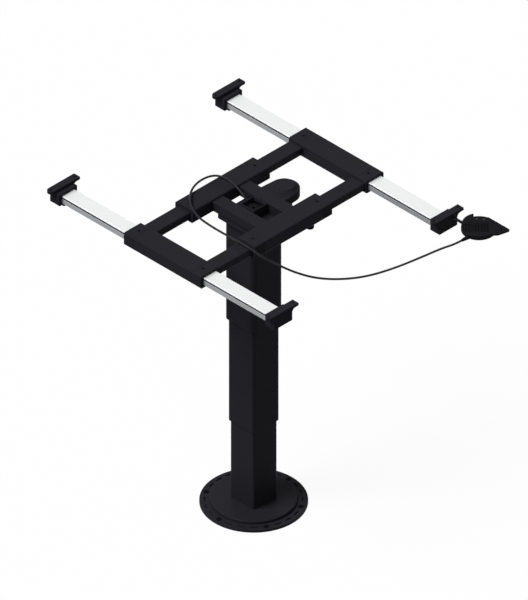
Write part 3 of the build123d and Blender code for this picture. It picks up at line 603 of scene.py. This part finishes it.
def makeHandPlate():
    # rings from the middle to the outline, found on each ray from the middle by halving; the rim is
    # rounded and the wall goes down to a flat underside
    plate = handPlate
    angle = np.linspace(0, 2 * np.pi, plate["sides"], endpoint=False)
    ray = np.stack([np.cos(angle), np.sin(angle)], axis=-1)
    middle = np.array(plate["middle"])
    near, far = (np.full(len(angle), reach) for reach in plate["outlineReach"])
    for _ in range(plate["halvings"]):
        half = (near + far) / 2
        inside = plateDistance(*(middle + half[:, None] * ray).T) < 0
        near, far = np.where(inside, half, near), np.where(inside, far, half)
    share = np.sin(np.linspace(0.01, 1, plate["rings"]) * np.pi / 2)
    reach = np.maximum(share[:, None] * (near - plate["edge"]), 1e-5)
    flat = middle + reach[..., None] * ray
    top = np.dstack([flat, plateTop(flat[..., 0], flat[..., 1])])
    turn = np.linspace(0, np.pi / 2, plate["edgeSteps"])[1:, None]
    rimReach = near - plate["edge"] + plate["edge"] * np.sin(turn)
    rimHigh = plate["high"] - plate["edge"] * (1 - np.cos(turn)) + 0 * near
    rim = np.dstack([middle + rimReach[..., None] * ray, rimHigh])
    low = np.full((1, len(angle)), plate["low"])
    foot = np.dstack([(middle + near[:, None] * ray)[None], low])
    inner = np.dstack([(middle + plate["innerRing"] * ray)[None], low])
    grid = np.concatenate([inner, foot, rim[::-1], top[::-1]])
    piece = shellFromGrid("handControlPlate", grid, "charcoal_plastic")
    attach(piece, "rear_slider")
    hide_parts("puck_base")


makeHandPlate()

# Its two cover screws: low domes with a dimple, sunk in their holes
coverScrew = {
    "sides": 20,
    "profile": [
        (0.0020, 0.7386), (0.0025, 0.7391), (0.0022, 0.7396), (0.0011, 0.7397), (0.0009, 0.7391),
        (0.0003, 0.7391),
    ],
}
screwPlaces = [(*place, 0.0) for place in handPlate["coverScrews"]]
coverScrews = turned(
    "handControlScrews", coverScrew["profile"], screwPlaces, "plain_steel", coverScrew["sides"]
)
coverScrews.data.materials[0] = dullZinc
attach(coverScrews, "rear_slider")
print("hand control made")


# Floor and light: a pale floor that reads as white to the camera and keeps a faint shadow
studio = {
    "floorSize": 12.0,
    "floorHeight": -0.0002,
    "floorShade": "#5f5f5f",  # what it throws back on the object
    "seenShade": "#ffffff",  # what the camera and reflections see of it
    "cameraWhite": 0.93,  # share of plain white added for them, so that only a faint shadow is left
    "worldLevel": 0.15,
    "keyFrom": (-0.2, -0.55, 0.81),
    "keyStrength": 2.9,
    "fillFrom": (0.75, -0.5, 0.45),
    "fillStrength": 0.15,
    "lampSpread": 0.5,
}


def seenDirectly(tree):
    # 1 for camera, glossy and transmission rays, else 0
    rays = addNode(tree, "ShaderNodeLightPath").outputs
    either = addNode(
        tree, "ShaderNodeMath", {"operation": "MAXIMUM"}, {0: rays["Is Camera Ray"], 1: rays["Is Glossy Ray"]}
    )
    return addNode(
        tree, "ShaderNodeMath", {"operation": "MAXIMUM"},
        {0: either.outputs[0], 1: rays["Is Transmission Ray"]},
    ).outputs[0]


def makeStudio():
    # the floor is a flat square of four quads: X and Y run from minus half its size to half, at one height
    half = studio["floorSize"] / 2
    steps = np.linspace(-half, half, 3)
    across, deep = np.meshgrid(steps, steps)
    grid = np.stack([across, deep, np.full_like(across, studio["floorHeight"])], axis=-1)
    index = np.arange(across.size).reshape(across.shape)
    quads = np.stack([index[:-1, :-1], index[:-1, 1:], index[1:, 1:], index[1:, :-1]], axis=-1).reshape(-1, 4)
    mesh = bpy.data.meshes.new("paleFloor")
    mesh.from_pydata(grid.reshape(-1, 3).tolist(), [], quads.tolist())
    floor = bpy.data.objects.new("paleFloor", mesh)
    scene.collection.objects.link(floor)
    material, tree = newMaterial("paleFloor")
    direct = seenDirectly(tree)
    shade = addNode(
        tree, "ShaderNodeMix", {"data_type": "RGBA"},
        {0: direct, 6: toLinear(studio["floorShade"]), 7: toLinear(studio["seenShade"])},
    )
    matt = addNode(tree, "ShaderNodeBsdfDiffuse", inputs={"Color": shade.outputs[2]})
    white = addNode(tree, "ShaderNodeEmission", inputs={"Color": (1, 1, 1, 1), "Strength": 1.0})
    share = addNode(
        tree, "ShaderNodeMath", {"operation": "MULTIPLY"}, {0: direct, 1: studio["cameraWhite"]}
    )
    mixed = addNode(
        tree, "ShaderNodeMixShader", inputs={0: share.outputs[0], 1: matt.outputs[0], 2: white.outputs[0]}
    )
    addNode(tree, "ShaderNodeOutputMaterial", inputs={"Surface": mixed.outputs[0]})
    mesh.materials.append(material)

    world = bpy.data.worlds.new("paleWorld")
    world.use_nodes = True
    tree = world.node_tree
    tree.nodes.clear()
    level = addNode(
        tree, "ShaderNodeMapRange",
        inputs={"Value": seenDirectly(tree), "To Min": studio["worldLevel"], "To Max": 1.0},
    )
    sky = addNode(tree, "ShaderNodeBackground", inputs={"Color": (1, 1, 1, 1), "Strength": level.outputs[0]})
    addNode(tree, "ShaderNodeOutputWorld", inputs={"Surface": sky.outputs[0]})
    scene.world = world

    for name in ("key", "fill"):
        data = bpy.data.lights.new(name + "Sun", "SUN")
        data.energy = studio[name + "Strength"]
        data.angle = studio["lampSpread"]
        lamp = bpy.data.objects.new(name + "Sun", data)
        lamp.rotation_euler = Vector(studio[name + "From"]).to_track_quat("Z", "Y").to_euler()
        scene.collection.objects.link(lamp)


makeStudio()
scene.view_settings.view_transform = "Standard"
print("studio lit")
